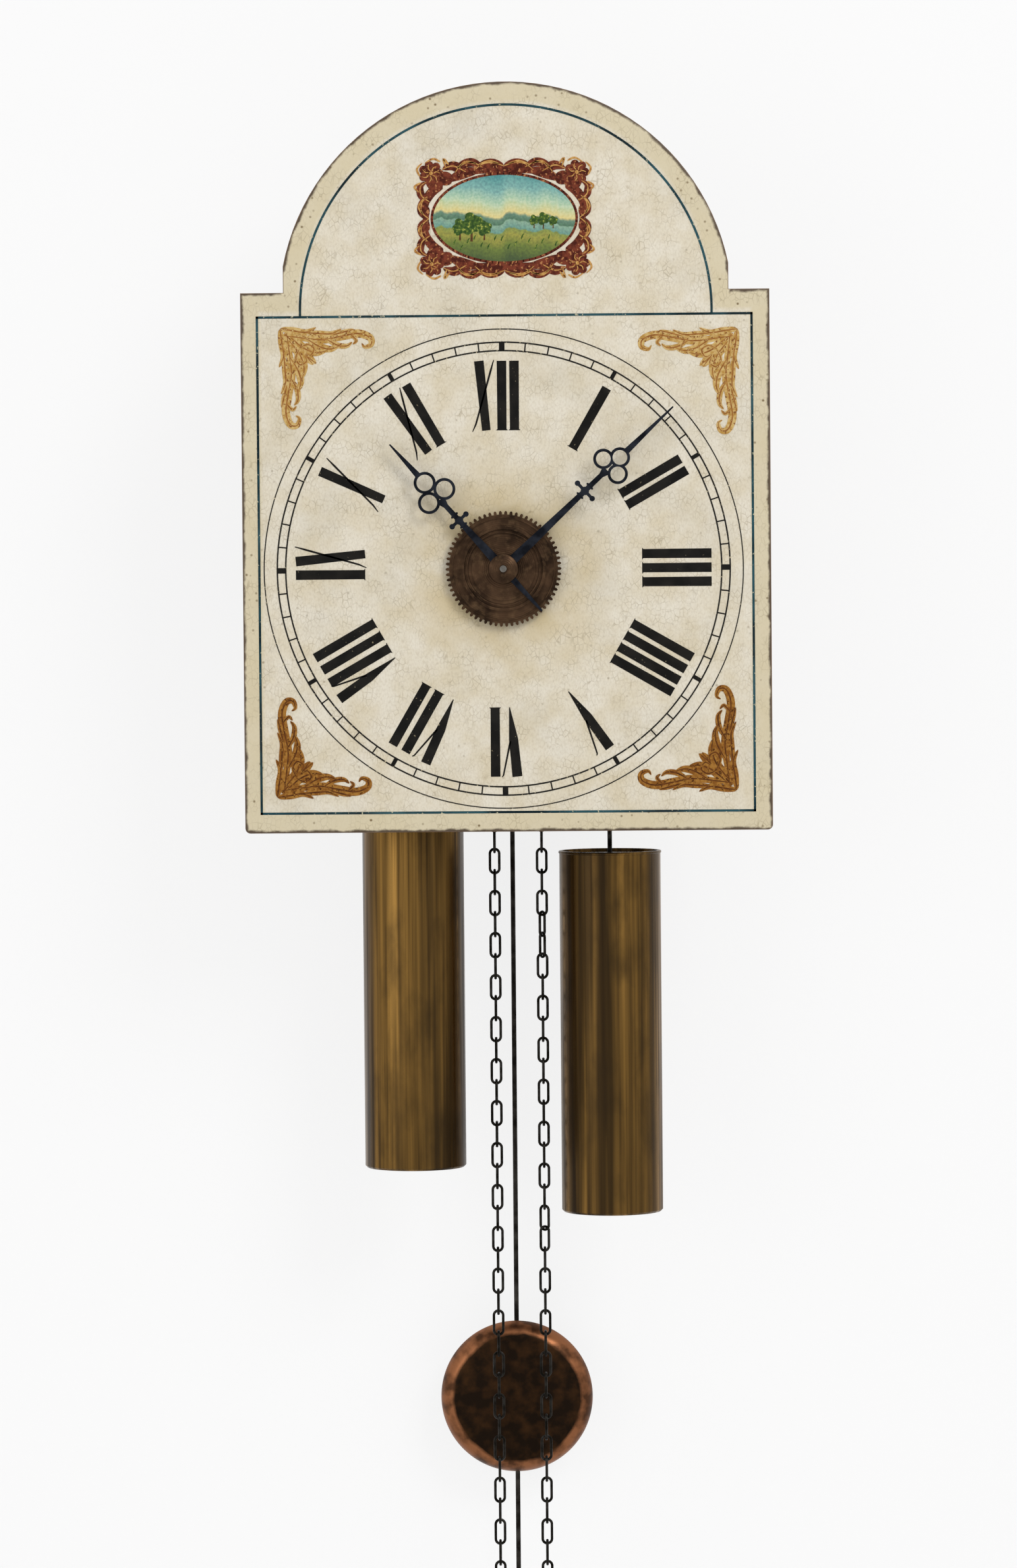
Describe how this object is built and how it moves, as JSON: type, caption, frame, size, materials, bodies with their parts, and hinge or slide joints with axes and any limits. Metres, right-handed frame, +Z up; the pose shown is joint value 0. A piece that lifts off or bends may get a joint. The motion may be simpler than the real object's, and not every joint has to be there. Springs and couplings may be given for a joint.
{
  "type": "shield clock",
  "caption": "Weight-driven wall clock with a painted arched dial board, pierced hands, two chain-hung cylinder weights, a long pendulum and a wooden movement case.",
  "frame": {"origin": "centre of the hanging loop eye, where the wall nail goes", "axes": "+Z up; the dial faces -Y and the wall is at +Y; +X is the right-hand side seen from the front"},
  "size_m": [0.25, 0.1438, 0.7419],
  "materials": {
    "dial_paint": "aged cream lacquer with painted figures, crazed",
    "case_wood": "old bare softwood, darkened",
    "iron": "dark forged iron",
    "chain_iron": "dark tarnished wire",
    "steel": "drawn steel",
    "movement_brass": "cast brass, dull",
    "blued_steel": "blued nearly black",
    "dial_brass": "brown patina",
    "weight_brass": "streaked brown patina",
    "bob_brass": "dark centre, coppery rim",
    "bell_bronze": "turned bell bronze"
  },
  "bodies": {
    "case": {"dial_shield": "dial_paint", "shield_battens": "case_wood", "shield_pegs": "case_wood", "top_board": "case_wood", "bottom_board": "case_wood", "front_plate": "case_wood", "back_plate": "case_wood", "rear_cover": "case_wood", "hanging_loop": "iron", "case_nails": "iron", "door_hinge_pins": "iron", "bushes": "movement_brass", "hand_post": "steel", "hand_nut": "dial_brass", "suspension_cock": "movement_brass", "bell": "bell_bronze", "bell_stand": "iron", "chain_over_sprockets": "chain_iron"},
    "left_door": {"left_door": "case_wood"},
    "right_door": {"right_door": "case_wood"},
    "minute": {"cannon_wheel": "movement_brass", "minute_hand": "blued_steel"},
    "drive": {"drive_wheel": "movement_brass"},
    "hour": {"hour_wheel": "movement_brass", "hour_hand": "blued_steel"},
    "alarm": {"alarm_disc": "dial_brass"},
    "going_great": {"going_great_wheel": "movement_brass", "going_arbor": "steel"},
    "going_click": {"going_click": "steel"},
    "going_sprocket": {"going_sprocket": "movement_brass"},
    "second": {"second_wheel": "movement_brass", "second_arbor": "steel"},
    "escape": {"escape_wheel": "movement_brass", "escape_arbor": "steel"},
    "anchor": {"anchor": "steel", "anchor_arbor": "steel", "crutch": "iron"},
    "pendulum": {"pendulum_rod": "iron"},
    "bob": {"pendulum_bob": "bob_brass"},
    "strike_great": {"strike_great_wheel": "movement_brass", "strike_arbor": "steel"},
    "strike_click": {"strike_click": "steel"},
    "strike_sprocket": {"strike_sprocket": "movement_brass"},
    "locking": {"locking_wheel": "movement_brass", "locking_arbor": "steel"},
    "warning": {"warning_wheel": "movement_brass", "warning_arbor": "steel"},
    "fly": {"fly": "steel"},
    "count": {"count_wheel": "movement_brass"},
    "hammer": {"hammer": "iron"},
    "locking_lever": {"locking_lever": "iron"},
    "lifting_lever": {"lifting_lever": "iron"},
    "going_weight": {"right_weight_shell": "weight_brass", "right_weight_hook": "iron", "going_chain_weight_side": "chain_iron"},
    "going_free_chain": {"going_chain_free_side": "chain_iron"},
    "strike_weight": {"left_weight_shell": "weight_brass", "left_weight_hook": "iron", "strike_chain_weight_side": "chain_iron"},
    "strike_free_chain": {"strike_chain_free_side": "chain_iron"}
  },
  "joints": [
    {"name": "left_door_hinge", "type": "hinge", "parent": "case", "child": "left_door", "pos_m": [-0.0728, -0.01, -0.098], "axis": [0, 0, 1], "range_deg": [-100, 0]},
    {"name": "right_door_hinge", "type": "hinge", "parent": "case", "child": "right_door", "pos_m": [0.0728, -0.01, -0.098], "axis": [0, 0, 1], "range_deg": [0, 100]},
    {"name": "minute_hand_turn", "type": "hinge", "parent": "case", "child": "minute", "pos_m": [0, -0.12, -0.098], "axis": [0, 1, 0], "continuous": true},
    {"name": "drive_wheel_turn", "type": "hinge", "parent": "case", "child": "drive", "pos_m": [0.0328, -0.105, -0.12176], "axis": [0, 1, 0], "continuous": true},
    {"name": "hour_hand_turn", "type": "hinge", "parent": "case", "child": "hour", "pos_m": [0, -0.12, -0.098], "axis": [0, 1, 0], "continuous": true},
    {"name": "alarm_disc_turn", "type": "hinge", "parent": "hour", "child": "alarm", "pos_m": [0, -0.131, -0.098], "axis": [0, 1, 0], "continuous": true},
    {"name": "escape_wheel_turn", "type": "hinge", "parent": "case", "child": "escape", "pos_m": [0.0015, -0.067, -0.081], "axis": [0, 1, 0], "continuous": true},
    {"name": "second_wheel_turn", "type": "hinge", "parent": "case", "child": "second", "pos_m": [0.02442, -0.067, -0.09285], "axis": [0, 1, 0], "continuous": true},
    {"name": "going_great_wheel_turn", "type": "hinge", "parent": "case", "child": "going_great", "pos_m": [0.0328, -0.067, -0.12176], "axis": [0, 1, 0], "continuous": true},
    {"name": "going_click_lift", "type": "hinge", "parent": "going_great", "child": "going_click", "pos_m": [0.0328, -0.0723, -0.10426], "axis": [0, 1, 0], "range_deg": [0, 8]},
    {"name": "going_sprocket_wind", "type": "hinge", "parent": "going_great", "child": "going_sprocket", "pos_m": [0.0328, -0.067, -0.12176], "axis": [0, 1, 0], "range_deg": [-200, 200]},
    {"name": "going_weight_travel", "type": "slide", "parent": "case", "child": "going_weight", "axis": [0, 0, 1], "range_m": [-0.05, 0.03], "deforming": ["chain_over_sprockets"]},
    {"name": "going_free_chain_travel", "type": "slide", "parent": "case", "child": "going_free_chain", "axis": [0, 0, 1], "range_m": [-0.03, 0.05]},
    {"name": "pendulum_swing", "type": "hinge", "parent": "case", "child": "pendulum", "pos_m": [0.0015, -0.014, -0.047], "axis": [0, 1, 0], "range_deg": [-4, 4]},
    {"name": "bob_rating", "type": "slide", "parent": "pendulum", "child": "bob", "axis": [0, 0, 1], "range_m": [-0.015, 0.015]},
    {"name": "anchor_rock", "type": "hinge", "parent": "case", "child": "anchor", "pos_m": [0.0015, -0.05, -0.047], "axis": [0, 1, 0], "range_deg": [-4, 4]},
    {"name": "fly_turn", "type": "hinge", "parent": "case", "child": "fly", "pos_m": [-0.02915, -0.067, -0.0633], "axis": [0, 1, 0], "continuous": true},
    {"name": "warning_wheel_turn", "type": "hinge", "parent": "case", "child": "warning", "pos_m": [-0.02117, -0.067, -0.07659], "axis": [0, 1, 0], "continuous": true},
    {"name": "locking_wheel_turn", "type": "hinge", "parent": "case", "child": "locking", "pos_m": [-0.03381, -0.067, -0.09336], "axis": [0, 1, 0], "continuous": true},
    {"name": "strike_great_wheel_turn", "type": "hinge", "parent": "case", "child": "strike_great", "pos_m": [-0.0262, -0.067, -0.12176], "axis": [0, 1, 0], "continuous": true},
    {"name": "count_wheel_turn", "type": "hinge", "parent": "case", "child": "count", "pos_m": [-0.03803, -0.105, -0.09951], "axis": [0, 1, 0], "continuous": true},
    {"name": "strike_click_lift", "type": "hinge", "parent": "strike_great", "child": "strike_click", "pos_m": [-0.0262, -0.0723, -0.10426], "axis": [0, 1, 0], "range_deg": [-8, 0]},
    {"name": "strike_sprocket_wind", "type": "hinge", "parent": "strike_great", "child": "strike_sprocket", "pos_m": [-0.0262, -0.067, -0.12176], "axis": [0, 1, 0], "range_deg": [-200, 200]},
    {"name": "strike_weight_travel", "type": "slide", "parent": "case", "child": "strike_weight", "axis": [0, 0, 1], "range_m": [-0.05, 0.02]},
    {"name": "strike_free_chain_travel", "type": "slide", "parent": "case", "child": "strike_free_chain", "axis": [0, 0, 1], "range_m": [-0.02, 0.05]},
    {"name": "hammer_lift", "type": "hinge", "parent": "case", "child": "hammer", "pos_m": [-0.062, -0.067, -0.099], "axis": [0, 1, 0], "range_deg": [0, 8]},
    {"name": "locking_lever_lift", "type": "hinge", "parent": "case", "child": "locking_lever", "pos_m": [-0.053, -0.067, -0.071], "axis": [0, 1, 0], "range_deg": [-6, 0]},
    {"name": "lifting_lever_lift", "type": "hinge", "parent": "case", "child": "lifting_lever", "pos_m": [-0.012, -0.067, -0.037], "axis": [0, 1, 0], "range_deg": [0, 5]}
  ],
  "couplings": [
    {"joint": "drive_wheel_turn", "follows": "minute_hand_turn", "ratio": -0.5},
    {"joint": "hour_hand_turn", "follows": "minute_hand_turn", "ratio": 0.083333},
    {"joint": "second_wheel_turn", "follows": "escape_wheel_turn", "ratio": -0.075},
    {"joint": "going_great_wheel_turn", "follows": "escape_wheel_turn", "ratio": 0.005625},
    {"joint": "going_free_chain_travel", "follows": "going_weight_travel", "ratio": -1},
    {"joint": "going_sprocket_wind", "follows": "going_weight_travel", "rad_per_m": -61.6},
    {"joint": "anchor_rock", "follows": "pendulum_swing", "ratio": 1},
    {"joint": "warning_wheel_turn", "follows": "fly_turn", "ratio": -0.10714},
    {"joint": "locking_wheel_turn", "follows": "fly_turn", "ratio": 0.010045},
    {"joint": "strike_great_wheel_turn", "follows": "fly_turn", "ratio": -0.00077266},
    {"joint": "count_wheel_turn", "follows": "fly_turn", "ratio": 0.00012878},
    {"joint": "strike_free_chain_travel", "follows": "strike_weight_travel", "ratio": -1},
    {"joint": "strike_sprocket_wind", "follows": "strike_weight_travel", "rad_per_m": 51.333}
  ]
}
